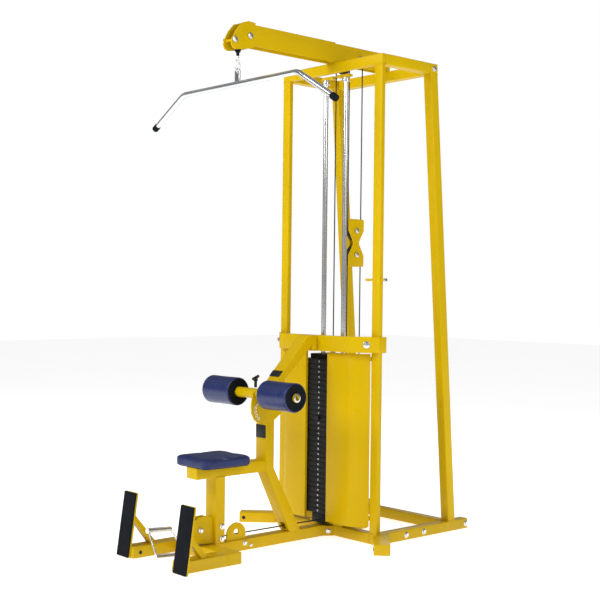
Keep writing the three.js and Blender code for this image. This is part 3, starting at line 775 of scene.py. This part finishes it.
# ---- thigh rollers and adjuster ----
def make_rollers():
    for side, s in SIDES.items():
        node = f"roller_{side}"
        low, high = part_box(node)
        c = middle(node)
        half, r, bore, soft = (high.x - low.x) / 2, (high.z - low.z) / 2, 0.0138, 0.006
        profile = [(bore, -half + 0.005), (0.03, -half + 0.0035), (r - soft, -half)]
        for i in range(1, 9):
            a = math.radians(90 * i / 8)
            profile.append((r - soft + soft * math.sin(a), -half + soft - soft * math.cos(a)))
        for i in range(1, 12):
            t = i / 12
            profile.append((r - 0.0009 * math.sin(math.pi * t), -half + soft + 2 * (half - soft) * t))
        for i in range(9):
            a = math.radians(90 - 90 * i / 8)
            profile.append((r - soft + soft * math.sin(a), half - soft + soft * math.cos(a)))
        profile += [(0.03, half - 0.0035), (bore, half - 0.005)]
        roll = Shape().lathe(profile, c, X, 96).object(node + "_foam")
        place(roll, BODY_OF[node], "navy_foam", node)
        ends = Shape()
        for e in (-1, 1):
            face = [(bore + 0.0005, half - 0.006), (r - soft, half - 0.001), (r - soft, half + 0.0004),
                    (0.03, half - 0.0028), (bore + 0.0005, half - 0.0042)]
            ends.lathe(face, c, X * e, 72)
        place(ends.object(node + "_end_faces"), BODY_OF[node], "grip_rubber")
    rings = Shape()
    axle = middle("roller_left")
    for s in (-1, 1):
        rim = [(0, 0.0), (0.0175, 0.0), (0.019, 0.0008), (0.019, 0.0022), (0.0165, 0.003), (0, 0.003)]
        rings.lathe(rim, (s * 0.309, axle.y, axle.z), X * s, 48)
    place(rings.object("axle_end_rings"), "thigh_arm", "chromed_steel")
    studs, notches = Shape(), Shape()
    pivot = Vector((0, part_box("mast")[0].y + 0.025, 0.655))
    hub, reach = pivot + Vector((0, -0.046, -0.015)), 0.054
    for s in (-1, 1):
        studs.bolt(pivot + X * s * 0.0503, X * s, 0.0105)
    for i in range(5):
        a = math.radians(150 + 20 * i)
        spot = hub + Vector((0.0466, reach * math.cos(a), reach * math.sin(a)))
        notches.lathe([(0.0042, 0), (0.0066, 0), (0.0066, 0.0012), (0.0042, 0.0012)], spot, X, 24)
    place(studs.object("pivot_bolts", 0.0004), "frame", "chromed_steel")
    place(notches.object("sector_holes"), "thigh_arm", "chromed_steel")


def make_adjuster():
    """A pull pin with a slanted T lever."""
    low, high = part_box("adjust_knob")
    y = middle("adjust_knob").y
    pin = [(0, 0), (0.0068, 0), (0.0068, 0.028), (0.0095, 0.0295), (0.0100, 0.040)]
    pin += [(0.007, 0.045), (0, 0.046)]
    lever = Shape().lathe(pin, (0, y, low.z), Z, 40)
    centre = Vector((0, y, high.z - 0.009))
    reach = Vector((0, 0.017, 0.007))
    lever.sweep(line(centre - reach, centre + reach, 0.004), 0.0068, 24)
    place(lever.object("pull_lever", 0.0015), "knob", "black_plastic", "adjust_knob")


# ---- seat pad ----
def pad_outline(low, high, inset, corner):
    points = []
    for cx, cy, start in ((high.x - corner, high.y - corner, 0), (low.x + corner, high.y - corner, 90),
                          (low.x + corner, low.y + corner, 180), (high.x - corner, low.y + corner, 270)):
        for i in range(13):
            a = math.radians(start + 7.5 * i)
            points.append((cx + (corner - inset) * math.cos(a), cy + (corner - inset) * math.sin(a)))
    return points


def prism(outline, z0, z1):
    n = len(outline)
    verts = [(x, y, z) for z in (z0, z1) for x, y in outline]
    faces = [list(reversed(range(n))), [n + i for i in range(n)]]
    faces += [[i, (i + 1) % n, n + (i + 1) % n, n + i] for i in range(n)]
    return Shape().add(verts, faces)


def inflate(thing, voxel, cap):
    """Fills the pad by cloth pressure, with each point's travel held to cap."""
    remesh = thing.modifiers.new("remesh", "REMESH")
    remesh.mode, remesh.voxel_size = "VOXEL", voxel
    freeze(thing)
    rest = [v.co.copy() for v in thing.data.vertices]
    cloth = thing.modifiers.new("cloth", "CLOTH")
    cloth.settings.use_pressure = True
    cloth.settings.uniform_pressure_force = 4
    cloth.settings.effector_weights.gravity = 0
    for number in range(1, 21):
        bpy.context.scene.frame_set(number)
    freeze(thing)
    bpy.context.scene.frame_set(1)
    for vertex, start in zip(thing.data.vertices, rest):
        travel = vertex.co - start
        if travel.length > cap:
            vertex.co = start + travel.normalized() * cap


def freeze(thing):
    """Applies the modifiers."""
    graph = bpy.context.evaluated_depsgraph_get()
    mesh = bpy.data.meshes.new_from_object(thing.evaluated_get(graph))
    thing.modifiers.clear()
    thing.data = mesh


def make_seat():
    low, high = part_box("seat_pad")
    corner, base = 0.038, 0.004
    board = prism(pad_outline(low, high, 0.018, corner), low.z, low.z + base + 0.002)
    place(board.object("seat_board", 0.001), "frame", "black_plastic")
    form = prism(pad_outline(low, high, 0.003, corner), low.z + base, high.z - 0.004)
    pad = form.object("seat_cushion", 0.013, 35, 5)
    inflate(pad, 0.005, 0.007)
    centre, half = (low + high) / 2, (high - low) / 2
    for vertex in pad.data.vertices:
        p = vertex.co
        edge = max(abs(p.x - centre.x) / half.x, abs(p.y - centre.y) / half.y)
        if p.z > centre.z:
            p.z += 0.003 * max(0.0, 1 - edge ** 4)
        p.z = max(p.z, low.z + base)
    pad.data.shade_smooth()
    pad.modifiers.new("fine", "SUBSURF").render_levels = 1
    place(pad, "frame", "navy_vinyl", "seat_pad")


# ---- room ----
def make_world():
    """A white backdrop, with bright and dark studio panels round the object for the chrome."""
    world = bpy.data.worlds.new("studio")
    bpy.context.scene.world = world
    world.use_nodes = True
    tree = world.node_tree
    panels = tree.nodes["Background"]
    panels.inputs["Strength"].default_value = 0.5
    coords = tree.nodes.new("ShaderNodeTexCoord")
    around = tree.nodes.new("ShaderNodeTexGradient")
    around.gradient_type = "RADIAL"
    tree.links.new(coords.outputs["Generated"], around.inputs["Vector"])
    bands = [(0.0, 0.95), (0.12, 0.3), (0.22, 0.95), (0.4, 0.4), (0.5, 1.0), (0.64, 0.22)]
    bands += [(0.76, 1.0), (0.9, 0.35)]
    shades = ramp(tree, around.outputs["Fac"], [(at, (v, v, v)) for at, v in bands])
    tree.links.new(shades, panels.inputs["Color"])
    backdrop = tree.nodes.new("ShaderNodeBackground")
    backdrop.inputs["Color"].default_value = (1, 1, 1, 1)
    path, choice = tree.nodes.new("ShaderNodeLightPath"), tree.nodes.new("ShaderNodeMixShader")
    tree.links.new(path.outputs["Is Camera Ray"], choice.inputs["Fac"])
    tree.links.new(panels.outputs["Background"], choice.inputs[1])
    tree.links.new(backdrop.outputs["Background"], choice.inputs[2])
    tree.links.new(choice.outputs["Shader"], tree.nodes["World Output"].inputs["Surface"])


def make_room():
    bpy.ops.mesh.primitive_plane_add(size=40, location=(0, 0, -0.001))
    ground = bpy.context.object
    ground.name = "studio_floor"
    glow = {"Emission_Color": (1, 1, 1, 1), "Emission_Strength": 0.66, "Specular_IOR_Level": 0.0}
    m, tree, p, coords = shader("floor", (0.9, 0.9, 0.9), 0.9, **glow)
    tree.links.new(grey_ramp(tree, noise(tree, coords, 1.5), 0.88, 0.92), p.inputs["Base Color"])
    ground.data.materials.append(m)
    make_world()
    lights = (("key", (-1.0, -5.0, 4.2), 3.0, 190), ("side", (5.0, -0.5, 3.6), 3.0, 80),
              ("rim", (-2.5, 4.5, 3.6), 2.5, 50))
    for name, spot, size, power in lights:
        data = bpy.data.lights.new(name, "AREA")
        data.size, data.energy = size, power
        light = bpy.data.objects.new(name, data)
        bpy.context.collection.objects.link(light)
        light.location = spot
        light.rotation_euler = (Vector((0, 0, 1.1)) - Vector(spot)).to_track_quat("-Z", "Y").to_euler()
    bpy.context.scene.view_settings.view_transform = "Standard"


make_camera()
refine_nodes()
make_welds()
make_bolts()
make_plugs()
make_peg_cap()
make_cables()
make_pulleys()
make_plates()
make_rods()
make_stem()
make_pin()
make_bar()
make_hook()
make_handle()
make_rollers()
make_adjuster()
make_seat()
make_room()
